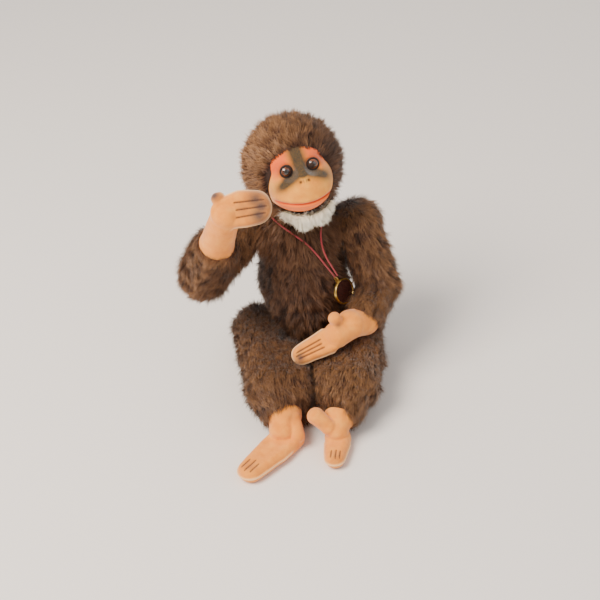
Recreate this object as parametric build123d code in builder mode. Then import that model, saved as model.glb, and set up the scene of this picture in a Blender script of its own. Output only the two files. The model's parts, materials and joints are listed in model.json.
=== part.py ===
from build123d import *
from itertools import pairwise
from math import cos, radians, sin
import os

os.makedirs("parts", exist_ok=True)

# A jointed mohair toy monkey that sits with one hand up beside its face.
# Millimetres. +Z is up, the toy faces -Y, and +X is the toy's own left.
# The origin is the middle of the flat seat under the trunk.

# ---------------------------------------------------------------- driving sizes
PILE = 4.0            # mohair cloth with the roots of its pile
FELT = 2.0            # felt of the face, hands and feet
CONE_SHARE = 0.96     # a cone between two balls is this much slimmer than they are
JOINT_GAP = 0.5       # between the cloth faces of two pieces that turn on each other

# Trunk: level of each section with its half width, half depth.
TRUNK_SECTIONS = [
    (0.0, 23.0, 28.0),
    (14.0, 27.5, 34.0),
    (34.0, 29.0, 38.0),
    (56.0, 34.0, 41.0),
    (90.0, 45.0, 42.0),
    (125.0, 42.0, 39.0),
    (150.0, 38.0, 34.0),
    (168.0, 34.0, 30.0),
    (179.0, 27.0, 24.0),
    (186.0, 18.0, 16.0),
]
TRUNK_TOP = TRUNK_SECTIONS[-1][0]

# Five disc joints. Each is a pair of board discs with a washer and a split pin.
SHOULDER_X = 40.0
SHOULDER_Z = 160.0
SHOULDER_SEAT = 17.5    # radius of the flat round seat on the trunk
SHOULDER_DISC = 13.0
HIP_X = 29.0
HIP_Z = 34.0
HIP_SEAT = 18.0
HIP_DISC = 12.0
NECK_DISC = 12.0
DISC_THICK = 2.0
WASHER_RADIUS = 6.0
WASHER_THICK = 1.0
PIN_RADIUS = 1.6
PIN_FIT = 0.05          # running clearance of a pin in the trunk's disc and washer
CLOTH_HOLE_EXTRA = 0.5  # a pin passes this much clear of the cloth
JOINT_ROOM = 8.0        # the trunk is kept clear this far beyond and around a limb's seat
LEG_SPREAD = 8.0        # how far each leg of a split pin is folded out
PIN_EYE = 3.2           # middle radius of a split pin's eye

# Head: an egg turned about the neck's axis.
HEAD_Z = 231.0
HEAD_RADIUS = 45.0
HEAD_HALF_HEIGHT = 47.0
FACE_YAW = 10.0         # the face looks to the toy's left
FACE_PITCH = 19.0       # and upward
FACE_ROLL = 6.0         # with its left eye a little higher
MUZZLE_PLACE = (0.0, -14.0, 28.0)   # right, up and forward in the face's own frame
MUZZLE_RADIUS = 32.0
BROW_PLACE = (0.0, 2.0, 13.5)
BROW_RADIUS = 34.5
EYE_RADIUS = 6.0
EYE_PLACE = (13.0, 5.0, 43.5)
SHANK_RADIUS = 0.6
SHANK_LENGTH = 24.0

# Arms and legs: the middle and radius of each ball along them.
ARM_TOP_RADIUS = 24.0
ARM_TOP_X = SHOULDER_X + 18.0
RIGHT_ARM = [
    ((-ARM_TOP_X, 0.0, SHOULDER_Z), ARM_TOP_RADIUS),
    ((-97.0, -32.0, 135.0), 23.0),
    ((-79.0, -60.0, 186.0), 19.5),
]
LEFT_ARM = [
    ((ARM_TOP_X, 0.0, SHOULDER_Z), ARM_TOP_RADIUS),
    ((75.4, -20.0, 92.0), 21.4),
    ((57.0, -54.0, 76.0), 18.5),
]
LEG_TOP_RADIUS = 25.0
LEG_TOP_X = HIP_X + 21.0
RIGHT_LEG = [
    ((-LEG_TOP_X, 0.0, HIP_Z), LEG_TOP_RADIUS),
    ((-43.0, -58.0, 36.0), 25.0),
    ((-38.5, -97.0, 32.5), 26.0),
    ((-31.0, -127.0, 24.0), 19.0),
]
LEFT_LEG = [
    ((LEG_TOP_X, 0.0, HIP_Z), LEG_TOP_RADIUS),
    ((46.0, -60.0, 34.0), 25.0),
    ((38.0, -100.0, 32.0), 24.5),
    ((23.0, -136.0, 23.0), 17.0),
]

# Felt hands: balls from the cuff to the knuckles, a flat mitten and a thumb.
RIGHT_WRIST = 17.0
RIGHT_PALM = [((-79.0, -60.0, 186.0), RIGHT_WRIST), ((-66.0, -74.0, 226.0), 14.0)]
RIGHT_MITTEN = Plane(origin=(-66.0, -76.0, 231.0), x_dir=(1.0, -0.05, 0.08), z_dir=(0.0, -0.87, 0.5))
RIGHT_FINGERS = [(0.0, -1.0, 13.5), (16.0, 1.0, 16.0), (28.0, 0.5, 14.5)]
RIGHT_THUMB = [((-66.0, -69.0, 230.0), 7.0), ((-71.5, -69.0, 242.0), 5.8)]
LEFT_WRIST = 15.5
LEFT_PALM = [
    ((57.0, -54.0, 76.0), LEFT_WRIST),
    ((43.0, -67.0, 82.0), 14.5),
    ((28.0, -78.0, 79.0), 13.0),
]
LEFT_MITTEN = Plane(origin=(20.0, -82.0, 76.0), x_dir=(-0.94, -0.19, -0.33), z_dir=(-0.1, -0.72, 0.68))
LEFT_FINGERS = [(0.0, 0.0, 12.0), (16.0, 0.0, 10.0), (31.0, 0.0, 8.5)]
LEFT_THUMB = [((31.0, -73.0, 86.0), 7.5), ((27.0, -76.0, 98.0), 6.3)]
MITTEN_THICK = 11.0
MITTEN_ROUND = 4.5

# Felt feet: balls from the ankle to the heel, a flat sole and a thumb-like big toe.
RIGHT_HEEL = [((-31.0, -127.0, 24.0), 17.0), ((-34.0, -141.0, 17.0), 13.0)]
RIGHT_SOLE = [(-29.5, -142.0, 16.5), (-45.0, -160.0, 16.0), (-67.0, -184.0, 12.0)]
RIGHT_BIG_TOE = [((-22.0, -136.0, 27.0), 6.5), ((-19.5, -149.0, 15.0), 7.0)]
LEFT_HEEL = [((23.0, -136.0, 23.0), 15.0), ((18.5, -150.0, 17.0), 11.0)]
LEFT_SOLE = [(19.0, -150.0, 12.5), (17.0, -163.0, 11.5), (14.0, -179.0, 9.0)]
LEFT_BIG_TOE = [((11.0, -151.0, 24.0), 8.0), ((-0.5, -146.0, 35.0), 8.0)]
SOLE_LOW = 0.5
SOLE_THICK = 14.0
SOLE_ROUND = 5.5

# Red neck thread and its medallion.
THREAD_DIAMETER = 1.6
MEDAL_PLACE = Vector(40.0, -33.0, 99.0)
MEDAL_FACING = Vector(0.70, -0.65, 0.306)
MEDAL_HANG = Vector(-7.0, 0.0, 16.0)   # from the medallion's middle to its ring
MEDAL_RADIUS = 13.5
MEDAL_THICK = 3.2
MEDAL_RIM = 1.9
INLAY_THICK = 1.6
TAB_RADIUS = 2.2
TAB_THICK = 1.0
RING_RADIUS = 2.3
RING_WIRE = 0.5

# Route of the thread, chosen by hand: up one side of the chest, round the neck, down the other.
THREAD_ROUTE = [
    (32.0, -35.0, 119.0),
    (26.0, -39.5, 132.0),
    (17.0, -39.5, 149.0),
    (6.0, -37.0, 164.0),
    (-10.0, -32.0, 176.0),
    (-25.0, -18.0, 184.0),
    (-31.0, 1.0, 186.0),
    (-24.0, 19.0, 186.5),
    (-8.0, 29.5, 186.0),
    (9.0, 29.0, 186.5),
    (24.0, 18.5, 186.0),
    (30.5, 2.0, 186.5),
    (27.5, -14.0, 184.0),
    (22.0, -28.0, 174.0),
    (21.0, -37.0, 160.0),
    (25.0, -40.0, 145.0),
    (31.0, -39.0, 131.5),
    (34.5, -35.5, 120.5),
]
ARC_SHARE = 0.45
LEAST_BEND = 3.0      # thread diameters


# ---------------------------------------------------------------- shared shapes
def keep(piece, name):
    """Name a finished piece and write it to its own file."""
    piece.part.label = name
    export_step(piece.part, f"parts/{name}.step")


def as_vector(place):
    """A place as a vector, whether it was given as one or as three numbers."""
    return place if isinstance(place, Vector) else Vector(*place)


def outward_plane(place, toward):
    """A plane at a place whose normal runs along the given direction."""
    return Plane(origin=place, z_dir=toward)


def limb_shape(stations, skin, walls):
    """Balls joined by cones, less a skin all round, kept on the inner side of each wall.

    Each ball is turned so that its seam line is on the toy's outer side, away from the seats.
    """
    with BuildPart() as limb:
        for place, radius in stations:
            outward_turn = 180 if as_vector(place).X < 0 else 0
            with Locations(place):
                Sphere(radius - skin, rotation=(0, 0, outward_turn))
        for (place, radius), (next_place, next_radius) in pairwise(stations):
            along = as_vector(next_place) - as_vector(place)
            with BuildSketch(outward_plane(place, along)):
                Circle(CONE_SHARE * (radius - skin))
            with BuildSketch(outward_plane(next_place, along)):
                Circle(CONE_SHARE * (next_radius - skin))
            loft()
        for wall in walls:
            split(bisect_by=wall, keep=Keep.TOP)
    return limb


def pad_shape(plane, circles, thick, rounding, skin):
    """A flat pad round a row of circles, with soft edges, less a skin all round."""
    with BuildPart() as pad:
        with BuildSketch(plane.offset(-thick / 2 + skin)):
            with BuildSketch(mode=Mode.PRIVATE) as discs:
                for x, y, radius in circles:
                    with Locations((x, y)):
                        Circle(radius - skin)
            make_hull(discs.sketch.edges())
        extrude(amount=thick - 2 * skin)
        flat_faces = pad.faces().filter_by(Axis((0, 0, 0), plane.z_dir))
        fillet(flat_faces.edges(), rounding - 0.6 * skin)
    return pad


def join(*shapes):
    """One solid from several that run into each other."""
    with BuildPart() as joined:
        for shape in shapes:
            add(shape.part)
    return joined


def carve(shape, *tools, holes=()):
    """A shape less other pieces, and less a round hole along each given pin."""
    with BuildPart() as carved:
        add(shape.part)
        for tool in tools:
            add(tool.part, mode=Mode.SUBTRACT)
        for plane, radius, low, high in holes:
            with BuildSketch(plane.offset(low)):
                Circle(radius)
            extrude(amount=high - low, mode=Mode.SUBTRACT)
    return carved


# ---------------------------------------------------------------- disc joints
# Each joint has a plane on the trunk's cloth, with its normal out into the limb.
TRUNK_DISC_FACE = -PILE - DISC_THICK
TRUNK_WASHER_FACE = TRUNK_DISC_FACE - WASHER_THICK
FOLD_LEVEL = TRUNK_WASHER_FACE - JOINT_GAP - PIN_RADIUS
LIMB_DISC_FACE = JOINT_GAP + PILE
LIMB_WASHER_FACE = LIMB_DISC_FACE + DISC_THICK
EYE_LEVEL = LIMB_WASHER_FACE + WASHER_THICK + PIN_EYE + PIN_RADIUS
FOLD_ROOM = 2.0       # empty room in the stuffing round the folded pin legs

JOINTS = {
    "neck": (Plane(origin=(0, 0, TRUNK_TOP), z_dir=(0, 0, 1)), NECK_DISC),
    "right_shoulder": (Plane(origin=(-SHOULDER_X, 0, SHOULDER_Z), z_dir=(-1, 0, 0)), SHOULDER_DISC),
    "left_shoulder": (Plane(origin=(SHOULDER_X, 0, SHOULDER_Z), z_dir=(1, 0, 0)), SHOULDER_DISC),
    "right_hip": (Plane(origin=(-HIP_X, 0, HIP_Z), z_dir=(-1, 0, 0)), HIP_DISC),
    "left_hip": (Plane(origin=(HIP_X, 0, HIP_Z), z_dir=(1, 0, 0)), HIP_DISC),
}


def bored_disc(plane, level, radius, thick, bore):
    """A flat disc or washer with a hole for the pin."""
    with BuildPart() as disc:
        with BuildSketch(plane.offset(level)):
            Circle(radius)
            Circle(bore, mode=Mode.SUBTRACT)
        extrude(amount=thick)
    return disc


def split_pin(plane):
    """A split pin: a round eye in the limb, a shank, and two legs folded out in the trunk."""
    eye_plane = Plane(origin=plane.offset(EYE_LEVEL).origin, x_dir=plane.z_dir, z_dir=plane.x_dir)
    fold_plane = Plane(origin=plane.offset(FOLD_LEVEL).origin, z_dir=plane.x_dir)
    with BuildPart() as pin:
        with BuildSketch(plane.offset(FOLD_LEVEL)):
            Circle(PIN_RADIUS)
        extrude(amount=EYE_LEVEL - PIN_EYE - FOLD_LEVEL)
        with Locations(eye_plane):
            Torus(PIN_EYE, PIN_RADIUS * 0.8)
        with BuildSketch(fold_plane):
            Circle(PIN_RADIUS * 0.8)
        extrude(amount=LEG_SPREAD, both=True)
    return pin


hardware = {}
for joint_name, (joint_plane, disc_radius) in JOINTS.items():
    trunk_bore = PIN_RADIUS + PIN_FIT
    pieces = {
        "trunk_disc": bored_disc(joint_plane, TRUNK_DISC_FACE, disc_radius, DISC_THICK, trunk_bore),
        "trunk_washer": bored_disc(joint_plane, TRUNK_WASHER_FACE, WASHER_RADIUS, WASHER_THICK, trunk_bore),
        "limb_disc": bored_disc(joint_plane, LIMB_DISC_FACE, disc_radius, DISC_THICK, PIN_RADIUS),
        "limb_washer": bored_disc(joint_plane, LIMB_WASHER_FACE, WASHER_RADIUS, WASHER_THICK, PIN_RADIUS),
        "split_pin": split_pin(joint_plane),
    }
    for piece_name, piece in pieces.items():
        keep(piece, f"{joint_name}_{piece_name}")
    hardware[joint_name] = pieces


def limb_hardware(joint_name):
    """The three pieces of a joint that turn with the limb."""
    return [hardware[joint_name][name] for name in ("limb_disc", "limb_washer", "split_pin")]


def pin_hole(joint_name, low, high):
    """A loose round hole through cloth along a joint's pin."""
    return (JOINTS[joint_name][0], PIN_RADIUS + CLOTH_HOLE_EXTRA, low, high)


# ---------------------------------------------------------------- trunk
def trunk_shape(skin):
    """The stuffed trunk with flat round seats for the arms and legs, less a skin."""
    with BuildPart() as trunk:
        low, high = skin, TRUNK_TOP - skin
        for level, half_width, half_depth in TRUNK_SECTIONS:
            with BuildSketch(Plane.XY.offset(min(max(level, low), high))):
                Ellipse(half_width - skin, half_depth - skin)
        loft()
        for x, z, radius in ((SHOULDER_X, SHOULDER_Z, SHOULDER_SEAT), (HIP_X, HIP_Z, HIP_SEAT)):
            with BuildSketch(Plane.YZ):
                with Locations((0, z)):
                    Circle(radius - skin)
            extrude(amount=x - skin, both=True)
            for side in (-1, 1):
                wall = Plane(origin=(side * (x - skin), 0, z), z_dir=(side, 0, 0))
                with BuildSketch(wall):
                    Circle(radius + JOINT_ROOM)
                extrude(amount=JOINT_ROOM, mode=Mode.SUBTRACT)
    return trunk


trunk_outer = trunk_shape(0.0)
trunk_inner = trunk_shape(PILE)
cloth_holes = [pin_hole(name, -2 * PILE, PILE) for name in JOINTS]
torso_cover = carve(trunk_outer, trunk_inner, holes=cloth_holes)
keep(torso_cover, "torso_cover")

trunk_boards = [hardware[name][kind] for name in JOINTS for kind in ("trunk_disc", "trunk_washer")]
fold_floor = FOLD_LEVEL - PIN_RADIUS - FOLD_ROOM
fold_rooms = [(JOINTS[name][0], LEG_SPREAD + FOLD_ROOM, fold_floor, TRUNK_WASHER_FACE) for name in JOINTS]
pin_rooms = [pin_hole(name, fold_floor, 0.0) for name in JOINTS]
torso_stuffing = carve(trunk_inner, *trunk_boards, holes=[*fold_rooms, *pin_rooms])
keep(torso_stuffing, "torso_stuffing")


# ---------------------------------------------------------------- head
head_middle = Vector(0, 0, HEAD_Z)
face_forward = Vector(0, -1, 0).rotate(Axis.X, -FACE_PITCH).rotate(Axis.Z, FACE_YAW)
face_axis = Axis((0, 0, 0), face_forward)
face_right = Vector(1, 0, 0).rotate(Axis.Z, FACE_YAW).rotate(face_axis, FACE_ROLL)
face_frame = Plane(origin=head_middle, x_dir=face_right, z_dir=face_forward)


def on_face(place):
    """A point given as right, up and forward in the face's own frame."""
    return face_frame.from_local_coords(Vector(*place))


def egg(skin):
    """The head's egg with a flat round seat at the neck, less a skin."""
    with BuildPart() as shape:
        with BuildSketch(Plane.XZ):
            with Locations((0, HEAD_Z)):
                Ellipse(HEAD_RADIUS - skin, HEAD_HALF_HEIGHT - skin)
            with Locations((-HEAD_RADIUS, HEAD_Z)):
                Rectangle(2 * HEAD_RADIUS, 3 * HEAD_HALF_HEIGHT, mode=Mode.SUBTRACT)
        revolve(axis=Axis.Z)
        split(bisect_by=Plane.XY.offset(TRUNK_TOP + JOINT_GAP + skin), keep=Keep.TOP)
    return shape


def face_shape(skin):
    """The muzzle ball and the brow ball together, less a skin."""
    with BuildPart() as shape:
        with Locations(on_face(MUZZLE_PLACE)):
            Sphere(MUZZLE_RADIUS - skin)
        with Locations(on_face(BROW_PLACE)):
            Sphere(BROW_RADIUS - skin)
    return shape


def eye_ball(side):
    """A glass eye."""
    with BuildPart() as eye:
        with Locations(on_face((side * EYE_PLACE[0], EYE_PLACE[1], EYE_PLACE[2]))):
            Sphere(EYE_RADIUS)
    return eye


def eye_shank(side, eye):
    """The wire that ties a glass eye into the head."""
    back = on_face((side * EYE_PLACE[0], EYE_PLACE[1], EYE_PLACE[2] - SHANK_LENGTH))
    with BuildPart() as shank:
        with BuildSketch(outward_plane(back, face_forward)):
            Circle(SHANK_RADIUS)
        extrude(amount=SHANK_LENGTH)
        add(eye.part, mode=Mode.SUBTRACT)
    return shank


eyes = {"right": eye_ball(-1), "left": eye_ball(1)}
shanks = {"right": eye_shank(-1, eyes["right"]), "left": eye_shank(1, eyes["left"])}
for side_name in eyes:
    keep(eyes[side_name], f"{side_name}_glass_eye")
    keep(shanks[side_name], f"{side_name}_eye_shank")
eye_pieces = [*eyes.values(), *shanks.values()]

head_outer = egg(0.0)
head_inner = egg(PILE)
head_cover = carve(head_outer, head_inner, *eye_pieces, hardware["neck"]["split_pin"])
keep(head_cover, "head_cover")
head_stuffing = carve(head_inner, *eye_pieces, *limb_hardware("neck"))
keep(head_stuffing, "head_stuffing")

face_outer = face_shape(0.0)
face_inner = face_shape(FELT)
face_felt = carve(face_outer, face_inner, head_outer, *eyes.values())
keep(face_felt, "face_felt")
face_filling = carve(face_inner, head_outer, *eyes.values())
keep(face_filling, "face_filling")

LIP_RADIUS = 2.4
LIP_STATIONS = [
    (-23.0, -28.0, 45.6),
    (-12.0, -32.0, 52.0),
    (0.0, -33.5, 54.0),
    (12.0, -32.0, 52.0),
    (23.0, -28.0, 45.6),
]
lip_line = limb_shape([(on_face(place), LIP_RADIUS) for place in LIP_STATIONS], 0.0, [])
lower_lip = carve(lip_line, face_outer, head_outer)
keep(lower_lip, "lower_lip")

BEARD_STATIONS = [
    ((-18.0, -34.0, 38.0), 8.0),
    ((-8.0, -44.0, 40.0), 9.5),
    ((8.0, -44.0, 40.0), 9.5),
    ((18.0, -34.0, 38.0), 8.0),
]
beard_mass = limb_shape([(on_face(place), radius) for place, radius in BEARD_STATIONS], 0.0, [])
beard = carve(beard_mass, face_outer, head_outer, lip_line)
keep(beard, "beard")


# ---------------------------------------------------------------- arms and legs
def make_limb(name, joint_name, side, stations, tip_shapes, tip_name):
    """A mohair sleeve with its stuffing, and the felt hand or foot with its filling."""
    joint_plane = JOINTS[joint_name][0]
    seat = joint_plane.offset(JOINT_GAP)
    (before, _), (cuff, _) = stations[-2:]
    cuff_wall = outward_plane(cuff, Vector(*before) - Vector(*cuff))
    outer = limb_shape(stations, 0.0, [seat, cuff_wall])
    inner = limb_shape(stations, PILE, [seat.offset(PILE), cuff_wall.offset(PILE)])
    cover = carve(outer, inner, hardware[joint_name]["split_pin"])
    keep(cover, f"{name}_cover")
    stuffing = carve(inner, *limb_hardware(joint_name))
    keep(stuffing, f"{name}_stuffing")
    tip_wall = outward_plane(cuff, Vector(*cuff) - Vector(*before))
    tip_outer = tip_shapes(0.0, tip_wall)
    tip_inner = tip_shapes(FELT, tip_wall)
    felt = carve(tip_outer, tip_inner, outer)
    keep(felt, f"{side}_{tip_name}_felt")
    filling = carve(tip_inner, outer)
    keep(filling, f"{side}_{tip_name}_filling")


def hand_shapes(palm, mitten, fingers, thumb):
    """A maker of one hand: cuff, palm, flat mitten and thumb, less a skin."""
    def shape(skin, wall):
        arm_end = limb_shape(palm, skin, [wall])
        flat = pad_shape(mitten, fingers, MITTEN_THICK, MITTEN_ROUND, skin)
        return join(arm_end, flat, limb_shape(thumb, skin, []))
    return shape


def foot_shapes(heel, sole, big_toe):
    """A maker of one foot: ankle, flat sole and big toe, less a skin."""
    def shape(skin, wall):
        ankle = limb_shape(heel, skin, [wall])
        middle = Plane.XY.offset(SOLE_LOW + SOLE_THICK / 2)
        flat = pad_shape(middle, sole, SOLE_THICK, SOLE_ROUND, skin)
        return join(ankle, flat, limb_shape(big_toe, skin, []))
    return shape


right_hand = hand_shapes(RIGHT_PALM, RIGHT_MITTEN, RIGHT_FINGERS, RIGHT_THUMB)
left_hand = hand_shapes(LEFT_PALM, LEFT_MITTEN, LEFT_FINGERS, LEFT_THUMB)
right_foot = foot_shapes(RIGHT_HEEL, RIGHT_SOLE, RIGHT_BIG_TOE)
left_foot = foot_shapes(LEFT_HEEL, LEFT_SOLE, LEFT_BIG_TOE)
make_limb("right_arm", "right_shoulder", "right", RIGHT_ARM, right_hand, "hand")
make_limb("left_arm", "left_shoulder", "left", LEFT_ARM, left_hand, "hand")
make_limb("right_leg", "right_hip", "right", RIGHT_LEG, right_foot, "foot")
make_limb("left_leg", "left_hip", "left", LEFT_LEG, left_foot, "foot")


# ---------------------------------------------------------------- medallion and thread
hang = MEDAL_HANG.normalized()
medal_plane = Plane(origin=MEDAL_PLACE, x_dir=hang, z_dir=MEDAL_FACING)
tab_reach = MEDAL_RADIUS + TAB_RADIUS * 0.6
tab_place = MEDAL_PLACE + hang * tab_reach
tab_plane = Plane(origin=tab_place, x_dir=hang, z_dir=MEDAL_FACING)

with BuildPart() as medallion_rim:
    with BuildSketch(medal_plane.offset(-MEDAL_THICK / 2)):
        Circle(MEDAL_RADIUS)
        Circle(MEDAL_RADIUS - MEDAL_RIM, mode=Mode.SUBTRACT)
    extrude(amount=MEDAL_THICK)
    fillet(medallion_rim.edges(), MEDAL_RIM * 0.4)
    with BuildSketch(tab_plane.offset(-TAB_THICK / 2)):
        Circle(TAB_RADIUS)
    extrude(amount=TAB_THICK)
    with BuildSketch(tab_plane.offset(-TAB_THICK)):
        with Locations((TAB_RADIUS * 0.2, 0)):
            Circle(TAB_RADIUS * 0.5)
    extrude(amount=2 * TAB_THICK, mode=Mode.SUBTRACT)
    with BuildSketch(medal_plane.offset(-MEDAL_THICK)):
        Circle(MEDAL_RADIUS - MEDAL_RIM)
    extrude(amount=2 * MEDAL_THICK, mode=Mode.SUBTRACT)
keep(medallion_rim, "medallion_rim")

with BuildPart() as medallion_inlay:
    with BuildSketch(medal_plane.offset(-INLAY_THICK / 2)):
        Circle(MEDAL_RADIUS - MEDAL_RIM)
    extrude(amount=INLAY_THICK)
keep(medallion_inlay, "medallion_inlay")

ring_middle = tab_place + hang * (TAB_RADIUS * 0.2 + RING_RADIUS)
ring_plane = Plane(origin=ring_middle, x_dir=hang, z_dir=hang.cross(MEDAL_FACING))
with BuildPart() as jump_ring:
    with Locations(ring_plane):
        Torus(RING_RADIUS, RING_WIRE)
keep(jump_ring, "jump_ring")

bend_radii = []
for before, corner, after in zip(THREAD_ROUTE, THREAD_ROUTE[1:], THREAD_ROUTE[2:]):
    run_in = Vector(*corner) - Vector(*before)
    run_out = Vector(*after) - Vector(*corner)
    half_turn = radians(run_in.get_angle(run_out) / 2)
    bend_radii.append(ARC_SHARE * min(run_in.length, run_out.length) * cos(half_turn) / sin(half_turn))
print("thread bends:", [round(radius, 1) for radius in bend_radii])
print("least bend in diameters:", round(min(bend_radii) / THREAD_DIAMETER, 1), "wanted", LEAST_BEND)

with BuildPart() as neck_thread:
    with BuildLine() as thread_line:
        FilletPolyline(*THREAD_ROUTE, radius=bend_radii)
    with BuildSketch(thread_line.line ^ 0):
        Circle(THREAD_DIAMETER / 2)
    sweep()
thread_length = sum(edge.length for edge in thread_line.edges())
print("thread length:", round(thread_length, 1))
keep(neck_thread, "neck_thread")
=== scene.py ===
import json
from math import cos, exp, hypot, pi, radians, sin, sqrt

import bmesh
import bpy
import numpy as np
from mathutils import Matrix, Vector, noise
from mathutils.bvhtree import BVHTree


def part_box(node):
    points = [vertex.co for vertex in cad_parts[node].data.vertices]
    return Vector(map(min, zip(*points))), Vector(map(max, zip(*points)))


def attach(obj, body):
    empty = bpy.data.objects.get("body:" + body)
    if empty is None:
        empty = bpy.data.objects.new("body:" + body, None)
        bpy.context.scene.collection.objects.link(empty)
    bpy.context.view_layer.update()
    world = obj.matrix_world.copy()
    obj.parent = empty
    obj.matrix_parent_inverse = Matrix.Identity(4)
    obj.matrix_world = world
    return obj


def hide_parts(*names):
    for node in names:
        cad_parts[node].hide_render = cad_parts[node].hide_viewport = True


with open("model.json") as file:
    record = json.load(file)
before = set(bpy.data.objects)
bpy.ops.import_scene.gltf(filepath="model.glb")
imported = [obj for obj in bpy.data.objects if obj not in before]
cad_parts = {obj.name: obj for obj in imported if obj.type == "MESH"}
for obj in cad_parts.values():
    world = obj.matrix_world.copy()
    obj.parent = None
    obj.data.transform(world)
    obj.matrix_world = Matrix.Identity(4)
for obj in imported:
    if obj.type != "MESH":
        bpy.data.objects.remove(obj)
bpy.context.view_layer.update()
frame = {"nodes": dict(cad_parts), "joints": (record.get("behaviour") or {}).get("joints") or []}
joints = {joint["name"]: Vector(joint["pos_m"]) for joint in frame["joints"]}
MM = 0.001


# ------------------------------------------------------------------ camera
# The toy is seen from the front and above, from a standing person's eye.
VIEW_ELEVATION = radians(35.0)
VIEW_ROLL = radians(5.5)
VIEW_DISTANCE = 1.3
LENS = 78.0
VIEW_SHIFT = (-0.0067, -0.0167)
look_at = Vector((0.0, -0.04, 0.11))
away = Vector((0.0, -cos(VIEW_ELEVATION), sin(VIEW_ELEVATION)))
camera = bpy.data.objects.new("camera", bpy.data.cameras.new("camera"))
camera.data.lens = LENS
camera.data.shift_x, camera.data.shift_y = VIEW_SHIFT
turn = away.to_track_quat("Z", "Y").to_matrix().to_4x4()
view_roll = Matrix.Rotation(-VIEW_ROLL, 4, "Z")
camera.matrix_world = Matrix.Translation(look_at + away * VIEW_DISTANCE) @ turn @ view_roll
bpy.context.collection.objects.link(camera)
bpy.context.scene.camera = camera


# ------------------------------------------------------------------ shared tools
# A colour function, one that adds a node, and one that starts a material.
def srgb(hex_colour):
    """A linear colour from an sRGB hex string."""
    parts = [int(hex_colour[i:i + 2], 16) / 255 for i in (1, 3, 5)]
    linear = [p / 12.92 if p <= 0.04045 else ((p + 0.055) / 1.055) ** 2.4 for p in parts]
    return (*linear, 1.0)


def add(tree, kind, inputs=None, **settings):
    """Adds a node, sets its properties, and sets or links its inputs by name or number."""
    made = tree.nodes.new(kind)
    for key, value in settings.items():
        setattr(made, key, value)
    for key, value in (inputs or {}).items():
        if isinstance(value, bpy.types.NodeSocket):
            tree.links.new(value, made.inputs[key])
        else:
            made.inputs[key].default_value = value
    return made


def material(name):
    """An empty node material with its surface node; returns the material, its tree and the surface."""
    made = bpy.data.materials.new(name)
    made.use_nodes = True
    tree = made.node_tree
    surface = next(n for n in tree.nodes if n.type == "BSDF_PRINCIPLED")
    return made, tree, surface


def ramp(tree, factor, stops):
    """A colour ramp from (position, hex) stops."""
    made = add(tree, "ShaderNodeValToRGB", {"Fac": factor})
    elements = made.color_ramp.elements
    while len(elements) < len(stops):
        elements.new(0.5)
    for element, (position, colour) in zip(elements, stops):
        element.position = position
        element.color = srgb(colour)
    return made


def mesh_object(name, mesh, *materials):
    """A linked object for a mesh, with its materials."""
    made = bpy.data.objects.new(name, mesh)
    for each in materials:
        mesh.materials.append(each)
    bpy.context.collection.objects.link(made)
    return made


# ------------------------------------------------------------------ neck thread
# Twisted red cotton, tied round the neck with both ends at the medallion's ring.
THREAD_DIAMETER = 1.6 * MM
THREAD_ROUTE = [
    (32.0, -35.0, 119.0),
    (26.0, -39.5, 132.0),
    (17.0, -39.5, 149.0),
    (6.0, -37.0, 164.0),
    (-10.0, -32.0, 176.0),
    (-25.0, -18.0, 184.0),
    (-31.0, 1.0, 186.0),
    (-24.0, 19.0, 186.5),
    (-8.0, 29.5, 186.0),
    (9.0, 29.0, 186.5),
    (24.0, 18.5, 186.0),
    (30.5, 2.0, 186.5),
    (27.5, -14.0, 184.0),
    (22.0, -28.0, 174.0),
    (21.0, -37.0, 160.0),
    (25.0, -40.0, 145.0),
    (31.0, -39.0, 131.5),
    (34.5, -35.5, 120.5),
]

cotton, tree, surface = material("red_cotton_thread")
position = add(tree, "ShaderNodeTexCoord").outputs["Object"]
ply = add(tree, "ShaderNodeTexWave", {
    "Vector": position, "Scale": 900.0, "Distortion": 2.0,
}, bands_direction="DIAGONAL")
strand_colour = ramp(tree, ply.outputs["Color"], [(0.0, "#7a0d18"), (0.6, "#b01f2c"), (1.0, "#cc3a42")])
tree.links.new(strand_colour.outputs["Color"], surface.inputs["Base Color"])
bump = add(tree, "ShaderNodeBump", {"Height": ply.outputs["Color"], "Strength": 0.6, "Distance": 0.3 * MM})
tree.links.new(bump.outputs["Normal"], surface.inputs["Normal"])
surface.inputs["Roughness"].default_value = 0.75
surface.inputs["Sheen Weight"].default_value = 0.3

curve = bpy.data.curves.new("neck_thread_line", "CURVE")
curve.dimensions = "3D"
spline = curve.splines.new("NURBS")
spline.points.add(len(THREAD_ROUTE) - 1)
for point, place in zip(spline.points, THREAD_ROUTE):
    point.co = (*(value * MM for value in place), 1.0)
spline.order_u = 3
spline.use_endpoint_u = True
spline.resolution_u = 12
curve.bevel_depth = THREAD_DIAMETER / 2
curve.bevel_resolution = 3
curve.materials.append(cotton)
thread = bpy.data.objects.new("red_neck_thread", curve)
bpy.context.collection.objects.link(thread)
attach(thread, "torso")
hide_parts("neck_thread")
tuple(value * MM for value in THREAD_ROUTE[0])


# ------------------------------------------------------------------ floor and light
# Pale warm paper under a large soft window light from the upper left and a weak fill.
paper, tree, surface = material("warm_grey_paper")
surface.inputs["Base Color"].default_value = srgb("#e9e3dd")
surface.inputs["Roughness"].default_value = 0.9
floor_mesh = bpy.data.meshes.new("floor")
REACH = 6.0
floor_corners = [(-REACH, -REACH, 0), (REACH, -REACH, 0), (REACH, REACH, 0), (-REACH, REACH, 0)]
floor_mesh.from_pydata(floor_corners, [], [(0, 1, 2, 3)])
floor = mesh_object("floor", floor_mesh, paper)


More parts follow.
